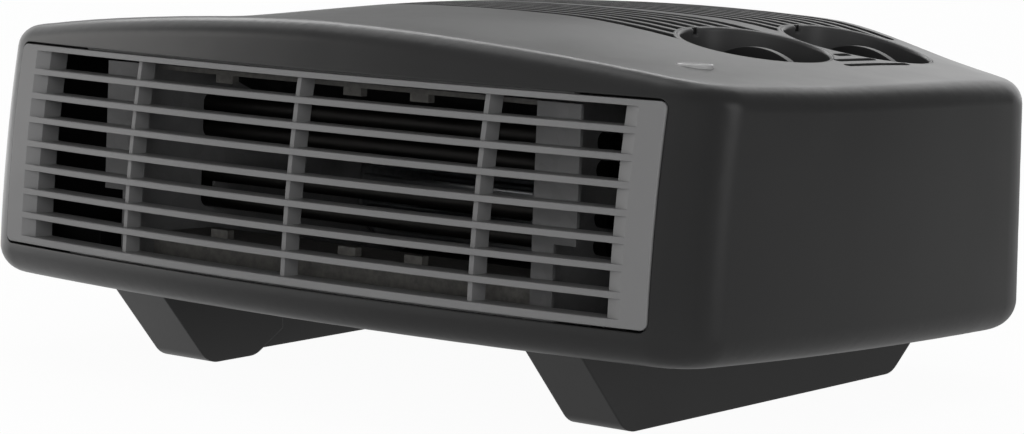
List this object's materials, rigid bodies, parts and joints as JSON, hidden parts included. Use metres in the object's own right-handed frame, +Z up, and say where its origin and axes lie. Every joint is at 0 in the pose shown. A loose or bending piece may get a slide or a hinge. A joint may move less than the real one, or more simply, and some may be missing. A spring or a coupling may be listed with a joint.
{
  "type": "garage fan heater",
  "caption": "Low charcoal fan heater on two wedge feet, with a grey louvre front, a slotted top, two sunk dial knobs and a fan.",
  "frame": {"origin": "on the floor, under the middle of the heater", "axes": "+X to the right seen from the front, +Y from the louvre front to the back, +Z up"},
  "size_m": [0.328, 0.2258, 0.128],
  "materials": {
    "case_plastic": "satin charcoal",
    "grille_plastic": "satin grey",
    "knob_plastic": "satin black",
    "lens_plastic": "pale gloss",
    "lamp_glass": "clear",
    "sheet_steel": "zinc plated sheet",
    "screw_steel": "zinc plated",
    "shaft_steel": "ground",
    "element_steel": "heat darkened sheath",
    "insulator_board": "pressed mica board",
    "wheel_aluminium": "bare",
    "bearing_brass": "plain",
    "motor_iron": "varnished stack",
    "coil_winding": "varnished copper winding",
    "switch_plastic": "moulded, pale",
    "gland_rubber": "matt black"
  },
  "bodies": {
    "heater_case": {"air_guide": "sheet_steel", "air_tongue": "sheet_steel", "base_plate": "case_plastic", "base_screws": "screw_steel", "case_shell": "case_plastic", "cord_gland": "gland_rubber", "fan_bearing": "bearing_brass", "foot_screws": "screw_steel", "front_grille": "grille_plastic", "left_end_plate": "sheet_steel", "left_foot": "case_plastic", "lower_element": "element_steel", "lower_insulator": "insulator_board", "motor_brackets": "sheet_steel", "motor_coil": "coil_winding", "motor_stator": "motor_iron", "pilot_lamp": "lamp_glass", "pilot_lens": "lens_plastic", "right_end_plate": "sheet_steel", "right_foot": "case_plastic", "selector_switch": "switch_plastic", "selector_well": "case_plastic", "terminal_block": "switch_plastic", "thermal_cutout": "switch_plastic", "thermostat_body": "switch_plastic", "thermostat_well": "case_plastic", "upper_element": "element_steel", "upper_insulator": "insulator_board"},
    "thermostat_dial": {"thermostat_knob": "knob_plastic", "thermostat_spindle": "shaft_steel"},
    "selector_dial": {"selector_knob": "knob_plastic", "selector_spindle": "shaft_steel"},
    "fan": {"fan_rotor": "wheel_aluminium", "fan_shaft": "shaft_steel", "motor_rotor": "wheel_aluminium"}
  },
  "joints": [
    {"name": "thermostat_turn", "type": "hinge", "parent": "heater_case", "child": "thermostat_dial", "pos_m": [0.0968, 0.01466, 0.0961], "axis": [0, 0.0523, 0.9986], "range_deg": [0, 270]},
    {"name": "selector_turn", "type": "hinge", "parent": "heater_case", "child": "selector_dial", "pos_m": [0.101, 0.06678, 0.09337], "axis": [0, 0.0523, 0.9986], "range_deg": [0, 180]},
    {"name": "fan_spin", "type": "hinge", "parent": "heater_case", "child": "fan", "pos_m": [0, 0.0379, 0.05432], "axis": [1, 0, 0], "continuous": true}
  ]
}
